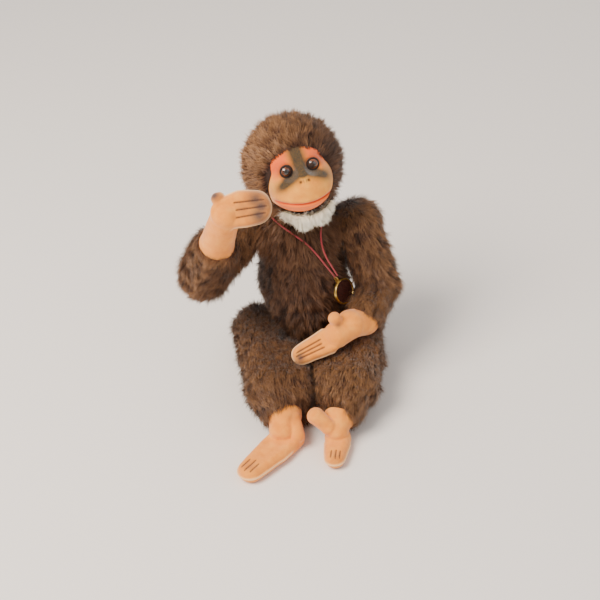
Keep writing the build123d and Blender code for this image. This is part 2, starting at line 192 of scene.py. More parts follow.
def area_light(name, place, target, size, power, colour):
    """A square soft light that faces a point."""
    light = bpy.data.lights.new(name, "AREA")
    light.size = size
    light.energy = power
    light.color = srgb(colour)[:3]
    lamp = bpy.data.objects.new(name, light)
    direction = Vector(place) - Vector(target)
    lamp.matrix_world = Matrix.Translation(place) @ direction.to_track_quat("Z", "Y").to_matrix().to_4x4()
    bpy.context.collection.objects.link(lamp)


area_light("window", (-1.0, -0.7, 1.7), look_at, 1.1, 74.0, "#fff4e8")
area_light("fill", (1.4, -1.2, 1.2), look_at, 1.6, 7.0, "#f4f2ff")
world = bpy.data.worlds.new("studio")
world.use_nodes = True
world.node_tree.nodes["Background"].inputs["Color"].default_value = srgb("#dcd8d4")
world.node_tree.nodes["Background"].inputs["Strength"].default_value = 1.2
bpy.context.scene.world = world


# ------------------------------------------------------------------ soft bodies under the pile
# Each stuffed piece starts from its CAD solids, made one smooth closed skin.
def soft_skin(name, nodes, voxel, rounds, shrink, reshape=None):
    """One smooth closed mesh round some CAD solids, drawn in by the shrink and then reshaped."""
    joined = bmesh.new()
    for node_name in nodes:
        joined.from_mesh(frame["nodes"][node_name].data)
    mesh = bpy.data.meshes.new(name)
    joined.to_mesh(mesh)
    joined.free()
    skin = mesh_object(name, mesh)
    remesh = skin.modifiers.new("remesh", "REMESH")
    remesh.mode = "VOXEL"
    remesh.voxel_size = voxel
    smooth = skin.modifiers.new("smooth", "SMOOTH")
    smooth.iterations = rounds
    smooth.factor = 0.5
    displace = skin.modifiers.new("shrink", "DISPLACE")
    displace.strength = -shrink
    displace.mid_level = 0.0
    settled = bpy.data.meshes.new_from_object(skin.evaluated_get(bpy.context.evaluated_depsgraph_get()))
    skin.modifiers.clear()
    skin.data = settled
    settled.name = name
    if reshape:
        places = [reshape(vertex.co / MM, vertex.normal) * MM for vertex in settled.vertices]
        for vertex, place in zip(settled.vertices, places):
            vertex.co = place
    return skin


# ------------------------------------------------------------------ mohair pile
# Mohair stands about 10 mm, combed along each piece, in locks whose tips lean together.
STRAND_LENGTH = 12.0 * MM
STRAND_WIDTH = 0.45 * MM
STRAND_SINK = 1.2 * MM
FLOOR_GAP = 0.4 * MM   # pile under the sitting toy is pressed flat
STRAND_BENDS = (0.15, 0.4, 0.65, 0.9, 0.5, 0.75)


def strand_mesh(name, length, width, bend, twist):
    """One hair: a narrow pointed blade that rises and then bends over towards +X."""
    rows = ((0.0, 0.0), (0.33, 1.0), (0.68, 0.75), (1.0, 0.0))
    points, shares = [], []
    for share, thick in rows:
        angle = bend * share * 1.5
        centre = Vector((sin(angle) * share, 0.0, cos(angle) * share)) * length - Vector((0, 0, STRAND_SINK))
        side = Vector((sin(twist) * 0.4, cos(twist), 0.0)) * (width / 2 * thick)
        for offset in ((side, -side) if thick else (Vector(),)):
            points.append(centre + offset)
            shares.append(share)
    mesh = bpy.data.meshes.new(name)
    mesh.from_pydata(points, [], [(0, 1, 2), (1, 3, 4, 2), (3, 5, 4)])
    attribute = mesh.attributes.new("along", "FLOAT", "POINT")
    attribute.data.foreach_set("value", shares)
    mesh.shade_smooth()
    return mesh


def strand_set(name, length, width):
    """A hidden collection with a few strands that bend and twist differently."""
    group = bpy.data.collections.new(name)
    for number, bend in enumerate(STRAND_BENDS):
        mesh = strand_mesh(f"{name}_{number}", length, width, bend, twist=(number - 2.5) * 0.35)
        group.objects.link(bpy.data.objects.new(f"{name}_{number}", mesh))
    return group


def pile_tree(strands):
    """Geometry Nodes that stand strands on a skin along its comb, in locks."""
    tree = bpy.data.node_groups.new("mohair_pile", "GeometryNodeTree")
    face = tree.interface
    face.new_socket("Skin", in_out="INPUT", socket_type="NodeSocketGeometry")
    for label, kind in (
        ("Density", "NodeSocketFloat"), ("Lay", "NodeSocketFloat"), ("Lock", "NodeSocketFloat"),
        ("Lock size", "NodeSocketFloat"), ("Stray", "NodeSocketFloat"), ("Seed", "NodeSocketInt"),
        ("Mohair", "NodeSocketMaterial"),
    ):
        face.new_socket(label, in_out="INPUT", socket_type=kind)
    face.new_socket("Pile", in_out="OUTPUT", socket_type="NodeSocketGeometry")
    given = add(tree, "NodeGroupInput").outputs
    thick = add(tree, "GeometryNodeInputNamedAttribute", {"Name": "thick"}, data_type="FLOAT").outputs[0]
    comb = add(tree, "GeometryNodeInputNamedAttribute", {"Name": "comb"}, data_type="FLOAT_VECTOR").outputs[0]
    fade = add(tree, "GeometryNodeInputNamedAttribute", {"Name": "fade"}, data_type="FLOAT").outputs[0]
    size = add(tree, "GeometryNodeInputNamedAttribute", {"Name": "size"}, data_type="FLOAT").outputs[0]
    count = add(tree, "ShaderNodeMath", {0: given["Density"], 1: thick}, operation="MULTIPLY").outputs[0]
    scatter = add(tree, "GeometryNodeDistributePointsOnFaces", {
        "Mesh": given["Skin"], "Density": count, "Seed": given["Seed"],
    })
    where = add(tree, "GeometryNodeInputPosition").outputs[0]
    cells = add(tree, "ShaderNodeMath", {0: 1.0, 1: given["Lock size"]}, operation="DIVIDE").outputs[0]
    ripple = add(tree, "ShaderNodeTexNoise", {"Vector": where, "Scale": 260.0, "Detail": 2.0}).outputs["Color"]
    warped = add(tree, "ShaderNodeVectorMath", {
        0: ripple, 1: (0.004, 0.004, 0.004), 2: where,
    }, operation="MULTIPLY_ADD").outputs[0]
    lock = add(tree, "ShaderNodeTexVoronoi", {"Vector": warped, "Scale": cells})
    inward = add(tree, "ShaderNodeVectorMath", {
        0: lock.outputs["Position"], 1: where,
    }, operation="SUBTRACT").outputs[0]
    inward = add(tree, "ShaderNodeVectorMath", {0: inward, "Scale": cells}, operation="SCALE").outputs[0]
    inward = add(tree, "ShaderNodeVectorMath", {
        0: inward, "Scale": given["Lock"],
    }, operation="SCALE").outputs[0]
    swirl = add(tree, "ShaderNodeTexNoise", {"Vector": where, "Scale": 70.0, "Detail": 3.0}).outputs["Color"]
    swirl = add(tree, "ShaderNodeVectorMath", {0: swirl, 1: (0.5, 0.5, 0.5)}, operation="SUBTRACT").outputs[0]
    swirl = add(tree, "ShaderNodeVectorMath", {0: swirl, "Scale": 2.2}, operation="SCALE").outputs[0]
    loose = add(tree, "FunctionNodeRandomValue", {
        0: (-1, -1, -1), 1: (1, 1, 1), "Seed": given["Seed"],
    }, data_type="FLOAT_VECTOR").outputs[0]
    loose = add(tree, "ShaderNodeVectorMath", {0: loose, "Scale": given["Stray"]}, operation="SCALE").outputs[0]
    lean = add(tree, "ShaderNodeVectorMath", {0: comb, "Scale": given["Lay"]}, operation="SCALE").outputs[0]
    flow = add(tree, "ShaderNodeVectorMath", {0: lean, 1: inward}, operation="ADD").outputs[0]
    drift = add(tree, "ShaderNodeVectorMath", {0: swirl, 1: loose}, operation="ADD").outputs[0]
    flow = add(tree, "ShaderNodeVectorMath", {0: flow, 1: drift}, operation="ADD").outputs[0]
    rise = add(tree, "ShaderNodeVectorMath", {
        0: scatter.outputs["Normal"], 1: flow,
    }, operation="ADD").outputs[0]
    stand = add(tree, "FunctionNodeAlignRotationToVector", {"Vector": rise}, axis="Z").outputs[0]
    over = add(tree, "ShaderNodeVectorMath", {0: lean, 1: drift}, operation="ADD").outputs[0]
    aim = add(tree, "FunctionNodeAlignRotationToVector", {
        "Rotation": stand, "Vector": over,
    }, axis="X", pivot_axis="Z").outputs[0]
    picked = add(tree, "GeometryNodeCollectionInfo", {
        "Collection": strands, "Separate Children": True, "Reset Children": True,
    })
    spread = add(tree, "FunctionNodeRandomValue", {
        2: 0.7, 3: 1.15, "Seed": given["Seed"],
    }, data_type="FLOAT").outputs[1]
    tall = add(tree, "ShaderNodeMath", {0: spread, 1: size}, operation="MULTIPLY").outputs[0]
    planted = add(tree, "GeometryNodeInstanceOnPoints", {
        "Points": scatter.outputs["Points"], "Instance": picked.outputs[0], "Pick Instance": True,
        "Rotation": aim, "Scale": tall,
    })
    dice = add(tree, "FunctionNodeRandomValue", {2: 0.0, 3: 1.0, "Seed": given["Seed"]}, data_type="FLOAT").outputs[1]
    lock_tone = add(tree, "ShaderNodeSeparateXYZ", {0: lock.outputs["Color"]}).outputs[0]
    mixed = add(tree, "ShaderNodeMix", {0: 0.45, 2: dice, 3: lock_tone}, data_type="FLOAT").outputs[0]
    # The tone mixes in the fade field, which also holds painted light and shade.
    tone = add(tree, "ShaderNodeMix", {0: 0.3, 2: fade, 3: mixed}, data_type="FLOAT").outputs[0]
    toned = add(tree, "GeometryNodeStoreNamedAttribute", {
        "Geometry": planted.outputs[0], "Name": "tone", "Value": tone,
    }, data_type="FLOAT", domain="INSTANCE")
    real = add(tree, "GeometryNodeRealizeInstances", {0: toned.outputs[0]})
    kept_tone = add(tree, "GeometryNodeInputNamedAttribute", {"Name": "tone"}, data_type="FLOAT").outputs[0]
    along = add(tree, "GeometryNodeInputNamedAttribute", {"Name": "along"}, data_type="FLOAT").outputs[0]
    corner = add(tree, "ShaderNodeCombineXYZ", {0: kept_tone, 1: along}).outputs[0]
    mapped = add(tree, "GeometryNodeStoreNamedAttribute", {
        "Geometry": real.outputs[0], "Name": "OFBake", "Value": corner,
    }, data_type="FLOAT2", domain="CORNER")
    dyed = add(tree, "GeometryNodeSetMaterial", {"Geometry": mapped.outputs[0], "Material": given["Mohair"]})
    add(tree, "NodeGroupOutput", {0: dyed.outputs[0]})
    return tree


def pile(name, skin, tree, mohair, seed, count, lay=0.9, lock=0.75, lock_size=8.5 * MM, stray=0.2):
    """A plain mesh of about the given number of strands, grown on a skin."""
    thick = np.empty(len(skin.data.vertices))
    skin.data.attributes["thick"].data.foreach_get("value", thick)
    corner_share = [thick[list(face.vertices)].mean() for face in skin.data.polygons]
    area = sum(face.area * share for face, share in zip(skin.data.polygons, corner_share))
    grower = bpy.data.objects.new(name, skin.data)
    bpy.context.collection.objects.link(grower)
    grow = grower.modifiers.new("grow", "NODES")
    grow.node_group = tree
    settings = {
        "Density": count / area, "Lay": lay, "Lock": lock, "Lock size": lock_size,
        "Stray": stray, "Seed": seed, "Mohair": mohair,
    }
    for item in tree.interface.items_tree:
        if item.name in settings:
            grow[item.identifier] = settings[item.name]
    grown = bpy.data.meshes.new_from_object(grower.evaluated_get(bpy.context.evaluated_depsgraph_get()))
    bpy.data.objects.remove(grower)
    grown.name = name
    places = np.empty(len(grown.vertices) * 3)
    grown.vertices.foreach_get("co", places)
    places[2::3] = np.maximum(places[2::3], FLOOR_GAP)
    grown.vertices.foreach_set("co", places)
    made = bpy.data.objects.new(name, grown)
    bpy.context.collection.objects.link(made)
    return made


def comb_skin(skin, comb, thick, fade, size=lambda p, n: 1.0):
    """Stores on a skin which way its pile lies, where it grows, how faded it is with painted light and shade mixed
    in, and how long it is.
    """
    mesh = skin.data
    directions, shares, fades_and_light, sizes = [], [], [], []
    for vertex in mesh.vertices:
        place, normal = vertex.co / MM, vertex.normal
        way = comb(place, normal)
        way = way - normal * way.dot(normal)
        directions.extend(way.normalized() if way.length > 1e-6 else way)
        shares.append(thick(place, normal))
        fades_and_light.append(fade(place, normal))
        sizes.append(size(place, normal))
    for label, kind, field, values in (
        ("comb", "FLOAT_VECTOR", "vector", directions), ("thick", "FLOAT", "value", shares),
        ("fade", "FLOAT", "value", fades_and_light), ("size", "FLOAT", "value", sizes),
    ):
        if label in mesh.attributes:
            mesh.attributes.remove(mesh.attributes[label])
        mesh.attributes.new(label, kind, "POINT").data.foreach_set(field, values)


def mohair_dye_and_root_shade(name, root, middle, tip, pale):
    """Dyed mohair: dark at the root, partly the unfaded dye and partly painted shade deep in the pile, lighter and
    sun-faded towards the tip; u is tone, v is along.
    """
    made, tree, surface = material(name)
    place = add(tree, "ShaderNodeUVMap", uv_map="OFBake").outputs[0]
    split_uv = add(tree, "ShaderNodeSeparateXYZ", {0: place}).outputs
    # The near-black root end of both ramps is painted shade deep in the pile.
    deep = ramp(tree, split_uv[1], [(0.0, root), (0.45, middle), (1.0, tip)])
    light = ramp(tree, split_uv[1], [(0.0, root), (0.35, tip), (1.0, pale)])
    blend = add(tree, "ShaderNodeMix", {
        0: split_uv[0], 6: deep.outputs[0], 7: light.outputs[0],
    }, data_type="RGBA")
    tree.links.new(blend.outputs[2], surface.inputs["Base Color"])
    surface.inputs["Roughness"].default_value = 0.55
    surface.inputs["Sheen Weight"].default_value = 0.25
    surface.inputs["Sheen Roughness"].default_value = 0.4
    surface.inputs["Specular IOR Level"].default_value = 0.35
    return made


def clamp(value, low=0.0, high=1.0):
    return max(low, min(high, value))


def along_line(points):
    """A comb that follows the nearest run of a line of points."""
    line = [Vector(point) for point in points]

    def comb(place, normal):
        runs = []
        for start, stop in zip(line, line[1:]):
            run = stop - start
            share = clamp((place - start).dot(run) / run.length_squared)
            runs.append(((place - (start + run * share)).length, run))
        return min(runs, key=lambda item: item[0])[1].normalized()
    return comb


# The root colours are dark partly as painted shade deep in the pile.
brown = mohair_dye_and_root_shade("brown_mohair", "#120805", "#331d12", "#5c3823", "#b98654")
strands = strand_set("mohair_strand", STRAND_LENGTH, STRAND_WIDTH)
grow_tree = pile_tree(strands)
# Dark brown backing cloth: between the strands and on bare patches its darkness stands as painted shade.
backing_and_shade, tree, surface = material("mohair_backing_cloth_and_shade")
surface.inputs["Base Color"].default_value = srgb("#2c1a12")
surface.inputs["Roughness"].default_value = 0.95
VOXEL = 2.2 * MM
PILE_SINK = 2.5 * MM
HEAD_SINK = -0.8 * MM


def joint_nodes(prefix, side):
    """The hidden hardware nodes of one disc joint that lie on the trunk's or the limb's side."""
    kinds = ("trunk_disc", "trunk_washer") if side == "trunk" else ("limb_disc", "limb_washer", "split_pin")
    return [f"{prefix}_{kind}" for kind in kinds]


# Trunk: combed down and a little outward; dark on the chest, partly unfaded mohair and partly painted shade, faded at
# the flanks.
trunk_hardware = [name for prefix in ("neck", "right_shoulder", "left_shoulder", "right_hip", "left_hip")
                  for name in joint_nodes(prefix, "trunk") + [f"{prefix}_split_pin"]]
trunk_nodes = ["torso_cover", "torso_stuffing", *trunk_hardware]
trunk_skin = soft_skin("torso_skin", trunk_nodes, VOXEL, 14, PILE_SINK)
trunk_skin.data.materials.append(backing_and_shade)
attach(trunk_skin, "torso")
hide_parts("torso_cover")
for side, low, high in (("front", -200.0, 0.0), ("back", 0.0, 200.0)):
    comb_skin(
        trunk_skin,
        comb=lambda p, n: Vector((0.012 * p.x, 0.0, -1.0)),
        thick=lambda p, n: float(low <= p.y < high and n.z > -0.8),
        # The chest's low value is partly painted shade; the flanks and the back are lighter.
        fade=lambda p, n: clamp(0.02 + 0.3 * clamp((abs(p.x) - 28) / 20) + (0.3 if p.y > 10 else 0.0)),
        size=lambda p, n: 1.0 + 0.7 * clamp((p.z - 138) / 15) * (1.0 if n.y < 0 else 0.3),
    )
    fur = pile(f"torso_mohair_{side}", trunk_skin, grow_tree, brown, seed=11 + (side == "back"), count=43000)
    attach(fur, "torso")


# ------------------------------------------------------------------ head
# The pile flows back from the felt face over the crown and down behind.
FACE_YAW, FACE_PITCH, FACE_ROLL = 10.0, 19.0, 6.0
HEAD_MIDDLE = Vector((0.0, 0.0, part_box("head_cover")[1][2] / MM - 47.0))
head_turn = Matrix.Rotation(radians(FACE_YAW), 3, "Z") @ Matrix.Rotation(radians(-FACE_PITCH), 3, "X")
forward = head_turn @ Vector((0, -1, 0))
level_across = Matrix.Rotation(radians(FACE_YAW), 3, "Z") @ Vector((1, 0, 0))
across = Matrix.Rotation(radians(FACE_ROLL), 3, forward) @ level_across
upward = forward.cross(across)


def on_face(right, up, ahead):
    """A point in millimetres from the face's own right, up and forward measures."""
    return HEAD_MIDDLE + across * right + upward * up + forward * ahead


def in_face(place):
    """The face's own right, up and forward measures of a point in millimetres."""
    offset = place - HEAD_MIDDLE
    return offset.dot(across), offset.dot(upward), offset.dot(forward)


FELT_ASIDE, FELT_MIDDLE, FELT_WIDE, FELT_TOP, FELT_BOTTOM = -3.0, -6.0, 33.5, 31.0, 29.5


def felt_reach(right, up):
    """0 in the middle of the felt face, 1 at its edge."""
    rise = up - FELT_MIDDLE
    return hypot((right - FELT_ASIDE) / FELT_WIDE, rise / (FELT_TOP if rise > 0 else FELT_BOTTOM))


def head_comb(place, normal):
    right, up, ahead = in_face(place)
    outward = across * right + upward * (up + 4.0)
    outward = outward.normalized() if outward.length > 1 else upward
    return outward * 0.9 - forward * 0.5 + Vector((0, 0, -0.35 if ahead < 10 else 0.0))


def head_thick(place, normal):
    right, up, ahead = in_face(place)
    covered = ahead > 5 and felt_reach(right, up) < 0.86
    return 0.0 if covered or place.z < 190 and normal.z < -0.8 else 1.0


head_nodes = [
    "head_cover", "head_stuffing", "right_glass_eye", "left_glass_eye",
    *joint_nodes("neck", "limb"),
]
head_skin = soft_skin("head_skin", head_nodes, VOXEL, 8, HEAD_SINK)
head_skin.data.materials.append(backing_and_shade)
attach(head_skin, "head")
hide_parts("head_cover")
comb_skin(
    head_skin, head_comb, head_thick,
    # Painted light: the pile is lighter towards the crown and darker towards the toy's left, away from the window
    # light.
    fade=lambda p, n: clamp(0.15 + 0.5 * clamp((p.z - 225) / 45) - 0.012 * p.x),
    size=lambda p, n: 1.0 + 0.45 * clamp((218 - p.z) / 20),
)
for number in (1, 2):
    fur = pile(f"head_mohair_{number}", head_skin, grow_tree, brown, seed=20 + number, count=28000)
    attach(fur, "head")


# Felt face: pressed over a muzzle and a brow, with sockets, nostrils and a smiling mouth.
MUZZLE = (0.0, -14.0, 28.0, 32.0)
BROW = (0.0, 2.0, 13.5, 34.5)
HEAD_RADIUS = 45.0
EYE_RIGHT, EYE_UP, EYE_AHEAD, EYE_RADIUS = 13.0, 5.0, 43.5, 6.0
BLEND_WIDTH = 2.2


def bell(value, width):
    return exp(-(value / width) ** 2)


def mouth_line(right):
    """How far up the mouth is, at a measure to the right: a wide smile."""
    return -28.0 + 5.2 * ((right + 3.0) / 26.0) ** 2 - 0.08 * right


def dome(right, up, place):
    middle_right, middle_up, middle_ahead, radius = place
    left_over = radius ** 2 - (right - middle_right) ** 2 - (up - middle_up) ** 2
    return middle_ahead + (sqrt(left_over) if left_over > 0 else -sqrt(-left_over))


def face_ahead(right, up):
    """How far forward the felt stands."""
    levels = [dome(right, up, MUZZLE), dome(right, up, BROW), dome(right, up, (0, 0, 0, HEAD_RADIUS)) - 0.5]
    top = max(levels)
    level = top + BLEND_WIDTH * np.log(sum(exp((each - top) / BLEND_WIDTH) for each in levels))
    eye_gap = hypot(abs(right) - EYE_RIGHT, up - EYE_UP)
    socket = clamp((10.5 - eye_gap) / 5.5)
    socket = socket * socket * (3 - 2 * socket)
    level += (EYE_AHEAD + 2.2 - level) * socket
    level += 1.6 * bell(up - 14.5, 4.5) * bell(abs(right) - 11, 12)
    level += 1.3 * bell(right, 5.0) * bell(up + 2, 6)
    level -= 1.4 * bell(abs(right) - 3.9, 1.6) * bell(up + 6.2, 1.5)
    aside = abs(right + 3)
    if aside < 29:
        gap = up - mouth_line(right)
        ends = clamp((29 - aside) / 5)
        level -= 1.9 * bell(gap, 1.2) * ends
        level += 1.3 * bell(gap + 2.8, 1.9) * ends
        level += 0.7 * bell(gap - 3.0, 2.5) * ends
    return level


def polar_sheet(name, rings, spokes, place_at):
    """A closed round sheet: a grid of rings and spokes, given thickness afterwards."""
    points = [place_at(0.0, 0.0)]
    faces = []
    for ring in range(1, rings + 1):
        for spoke in range(spokes):
            points.append(place_at(ring / rings, 2 * pi * spoke / spokes))
    for spoke in range(spokes):
        after = (spoke + 1) % spokes
        faces.append((0, 1 + spoke, 1 + after))
        for ring in range(rings - 1):
            inner, outer = 1 + ring * spokes, 1 + (ring + 1) * spokes
            faces.append((inner + spoke, outer + spoke, outer + after, inner + after))
    mesh = bpy.data.meshes.new(name)
    mesh.from_pydata([point * MM for point in points], [], faces)
    mesh.shade_smooth()
    return mesh


def felt_point(reach, angle):
    """A point of the felt; past the visible edge it turns down under the pile."""
    span = min(reach / 0.93, 1.0)
    right = FELT_ASIDE + FELT_WIDE * span * cos(angle)
    up = FELT_MIDDLE + (FELT_TOP if sin(angle) > 0 else FELT_BOTTOM) * span * sin(angle)
    tuck = max(reach - 0.93, 0.0) / 0.07
    return on_face(right, up, face_ahead(right, up) - 4.0 * tuck)


def paint(mesh, masks):
    """Stores airbrush masks on a mesh, each a function of a point in millimetres."""
    for label, mask in masks.items():
        values = [mask(vertex.co / MM) for vertex in mesh.vertices]
        mesh.attributes.new(label, "FLOAT", "POINT").data.foreach_set("value", values)


def face_mask(rule):
    def mask(place):
        right, up, ahead = in_face(place)
        return clamp(rule(right, up))
    return mask


face_masks = {
    "dark": face_mask(lambda r, u: max(
        1.35 * bell(r, 8.0) * bell(max(-u, 0), 3.0),
        1.3 * bell(u - (1.0 - 0.5 * (abs(r) - 6)), 5.5)
        * bell(max(5 - abs(r), 0), 5.0) * bell(max(abs(r) - 18, 0), 9.0),
        1.2 * bell(hypot(abs(r) - EYE_RIGHT, u - EYE_UP), 7.5),
    )),
    "orange": face_mask(lambda r, u: max(
        1.0 * clamp((u + 4) / 12) * clamp((abs(r) - 3) / 10),
        0.35 * bell(u + 34.0, 4.0),
    )),
    "mouth": face_mask(lambda r, u: bell(u - mouth_line(r), 1.1) * clamp((28.5 - abs(r + 3)) / 3)),
    "lip": face_mask(lambda r, u: clamp((mouth_line(r) - u) / 1.2) * clamp((28 - abs(r + 3)) / 4)),
    "nostril": face_mask(lambda r, u: max(
        bell(abs(r) - 3.9, 1.4) * bell(u + 6.2 + 0.3 * (abs(r) - 3.9), 1.3),
        0.55 * bell(abs(r) - 1.3, 0.6) * bell(u + 5.6, 1.7),
    )),
}


def felt_material(name, base, layers, bump_distance):
    """Pressed wool felt: matt, with short matted fibres and airbrushed colours in layers."""
    made, tree, surface = material(name)
    place = add(tree, "ShaderNodeTexCoord").outputs["Object"]
    cloud = add(tree, "ShaderNodeTexNoise", {"Vector": place, "Scale": 120.0, "Detail": 4.0}).outputs[0]
    fibre = add(tree, "ShaderNodeTexNoise", {
        "Vector": place, "Scale": 1300.0, "Detail": 3.0, "Roughness": 0.7,
    }).outputs[0]
    worn = ramp(tree, cloud, [(0.3, base[0]), (0.55, base[1]), (0.8, base[2])]).outputs[0]
    for label, colour, strength in layers:
        mask = add(tree, "ShaderNodeAttribute", attribute_name=label).outputs["Fac"]
        speck = add(tree, "ShaderNodeMath", {0: fibre, 1: 0.5}, operation="SUBTRACT").outputs[0]
        uneven = add(tree, "ShaderNodeMath", {0: speck, 1: 0.5, 2: 1.0}, operation="MULTIPLY_ADD").outputs[0]
        amount = add(tree, "ShaderNodeMath", {0: mask, 1: uneven}, operation="MULTIPLY").outputs[0]
        amount = add(tree, "ShaderNodeMath", {
            0: amount, 1: strength,
        }, operation="MULTIPLY", use_clamp=True).outputs[0]
        worn = add(tree, "ShaderNodeMix", {0: amount, 6: worn, 7: srgb(colour)}, data_type="RGBA").outputs[2]
    tree.links.new(worn, surface.inputs["Base Color"])
    relief = add(tree, "ShaderNodeBump", {"Height": fibre, "Strength": 0.5, "Distance": bump_distance})
    tree.links.new(relief.outputs["Normal"], surface.inputs["Normal"])
    surface.inputs["Roughness"].default_value = 0.9
    surface.inputs["Sheen Weight"].default_value = 0.35
    surface.inputs["Sheen Roughness"].default_value = 0.5
    surface.inputs["Specular IOR Level"].default_value = 0.2
    return made


face_felt = felt_material("pressed_face_felt", ("#e08a24", "#eb9a2e", "#f2aa3c"), [
    ("orange", "#f0500c", 0.85), ("dark", "#2a2a20", 0.95), ("lip", "#f07020", 0.9),
    ("mouth", "#cc2c06", 1.0), ("nostril", "#2a1811", 1.0),
], 0.5 * MM)
face_mesh = polar_sheet("felt_face", 64, 144, felt_point)
paint(face_mesh, face_masks)
face = mesh_object("felt_face", face_mesh, face_felt)
thicken = face.modifiers.new("thickness", "SOLIDIFY")
thicken.thickness = 1.6 * MM
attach(face, "head")
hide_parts("face_felt", "face_filling", "lower_lip")


# Glass eyes: a brown iris round a black pupil, black at the rim, in a dark felt ring.
def eye_glass():
    made, tree, surface = material("brown_eye_glass")
    place = add(tree, "ShaderNodeUVMap", uv_map="OFBake").outputs[0]
    centred = add(tree, "ShaderNodeVectorMath", {
        0: place, 1: (0.5, 0.5, 0.0),
    }, operation="SUBTRACT").outputs[0]
    reach = add(tree, "ShaderNodeVectorMath", {0: centred}, operation="LENGTH").outputs["Value"]
    iris = ramp(tree, reach, [
        (0.0, "#050302"), (0.17, "#060302"), (0.2, "#4a2410"),
        (0.34, "#7a4020"), (0.38, "#140a06"), (1.0, "#080504"),
    ])
    tree.links.new(iris.outputs[0], surface.inputs["Base Color"])
    surface.inputs["Roughness"].default_value = 0.05
    surface.inputs["Coat Weight"].default_value = 1.0
    surface.inputs["Coat Roughness"].default_value = 0.02
    return made


glass = eye_glass()
rim_felt, tree, surface = material("dark_eye_ring")
surface.inputs["Base Color"].default_value = srgb("#231914")
surface.inputs["Roughness"].default_value = 0.8
for side, side_name in ((-1, "right"), (1, "left")):
    ball = bmesh.new()
    bmesh.ops.create_uvsphere(ball, u_segments=48, v_segments=32, radius=EYE_RADIUS * MM)
    middle = on_face(side * EYE_RIGHT, EYE_UP, EYE_AHEAD)
    frame_turn = Matrix((across, upward, forward)).transposed().to_4x4()
    bmesh.ops.transform(ball, matrix=Matrix.Translation(middle * MM) @ frame_turn, verts=ball.verts)
    mesh = bpy.data.meshes.new(f"{side_name}_eye")
    ball.to_mesh(mesh)
    ball.free()
    mesh.shade_smooth()
    layer = mesh.uv_layers.new(name="OFBake")
    for loop in mesh.loops:
        offset = mesh.vertices[loop.vertex_index].co / MM - middle
        layer.data[loop.index].uv = (0.5 + offset.dot(across) / 13, 0.5 + offset.dot(upward) / 13)
    eye = mesh_object(f"{side_name}_eye_of_glass", mesh, glass)
    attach(eye, "head")
    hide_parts(f"{side_name}_glass_eye")
    ring_points = []
    for step in range(48):
        angle = 2 * pi * step / 48
        right = side * EYE_RIGHT + (EYE_RADIUS - 0.2) * cos(angle)
        up = EYE_UP + (EYE_RADIUS - 0.2) * sin(angle)
        ring_points.append(on_face(right, up, face_ahead(right, up) + 0.1))
    ring_curve = bpy.data.curves.new(f"{side_name}_eye_ring", "CURVE")
    ring_curve.dimensions = "3D"
    loop_line = ring_curve.splines.new("POLY")
    loop_line.points.add(len(ring_points) - 1)
    for point, place in zip(loop_line.points, ring_points):
        point.co = (*(place * MM), 1.0)
    loop_line.use_cyclic_u = True
    ring_curve.bevel_depth = 0.75 * MM
    ring_curve.bevel_resolution = 3
    ring_mesh = bpy.data.meshes.new_from_object(bpy.data.objects.new("ring", ring_curve))
    ring_mesh.materials.clear()
    ring = mesh_object(f"{side_name}_eye_ring", ring_mesh, rim_felt)
    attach(ring, "head")


# ------------------------------------------------------------------ arms and legs under pile
# The outer side of each limb is lighter, partly sun-faded and partly a painted glow of light at its edge; each top is
# painted lighter and each underside darker as painted light and shade; each sleeve ends in short pile at its cuff.
RIGHT_ARM = [(-58, 0, 160), (-97, -32, 135), (-79, -60, 186)]
LEFT_ARM = [(58, 0, 160), (75, -20, 92), (57, -54, 76)]
RIGHT_LEG = [(-50, 0, 34), (-43, -58, 36), (-38.5, -97, 32.5), (-31, -127, 24)]
LEFT_LEG = [(50, 0, 34), (46, -60, 34), (38, -100, 32), (23, -136, 23)]


def inner_fill(place, normal):
    """Fills a leg out towards its neighbour, up to 5 mm from the middle."""
    side = 1 if place.x > 0 else -1
    inward = clamp(-normal.x * side)
    reach = clamp((-42 - place.y) / 20) * clamp((place.y + 132) / 14)
    return place - Vector((side * inward * reach * max(abs(place.x) - 5, 0), 0, 0))


def slope_shoulder(place, normal):
    """Rounds the top of the hanging arm down a little."""
    high = max(place.z - 158, 0)
    return Vector((place.x, place.y, place.z - 0.1 * high))


LIMB_SHAPES = {"right_leg": inner_fill, "left_leg": inner_fill, "left_arm": slope_shoulder}


def limb(side, kind, points, sink, seed, count, fade=0.45, hang=(0, 0, 0)):
    """One furred limb: a smooth skin, then its pile."""
    name = f"{side}_{kind}"
    joint = "shoulder" if kind == "arm" else "hip"
    nodes = [f"{name}_cover", f"{name}_stuffing", *joint_nodes(f"{side}_{joint}", "limb")]
    skin = soft_skin(f"{name}_skin", nodes, VOXEL, 8, sink * MM, LIMB_SHAPES.get(name))
    skin.data.materials.append(backing_and_shade)
    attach(skin, name)
    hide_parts(f"{name}_cover")
    last = Vector(points[-1])
    way = (last - Vector(points[-2])).normalized()
    outer = 1 if side == "left" else -1
    hub = joints[f"{side}_{joint}_swing"] / MM

    def thick(place, normal):
        cuff = (place - last).dot(way)
        inner = abs(place.x) < abs(hub.x) + 3 and normal.x * outer < -0.6
        at_disc = inner and hypot(place.y - hub.y, place.z - hub.z) < 24
        return 0.0 if at_disc or cuff > 2 and normal.dot(way) > 0.7 else 1.0

    # Painted light and shade: lighter on top and darker underneath; the outer side is lighter, partly sun-fade and
    # partly a painted glow.
    def faded_and_lit(place, normal):
        return clamp(fade + 0.4 * clamp(normal.x * outer) + 0.25 * clamp(normal.z) - 0.15 * clamp(-normal.z))

    def size(place, normal):
        return 0.8 if (place - last).dot(way) > -8 else 1.0

    run = along_line(points)
    comb_skin(skin, lambda p, n: run(p, n) + Vector(hang), thick, faded_and_lit, size)
    fur = pile(f"{name}_mohair", skin, grow_tree, brown, seed, count)
    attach(fur, name)


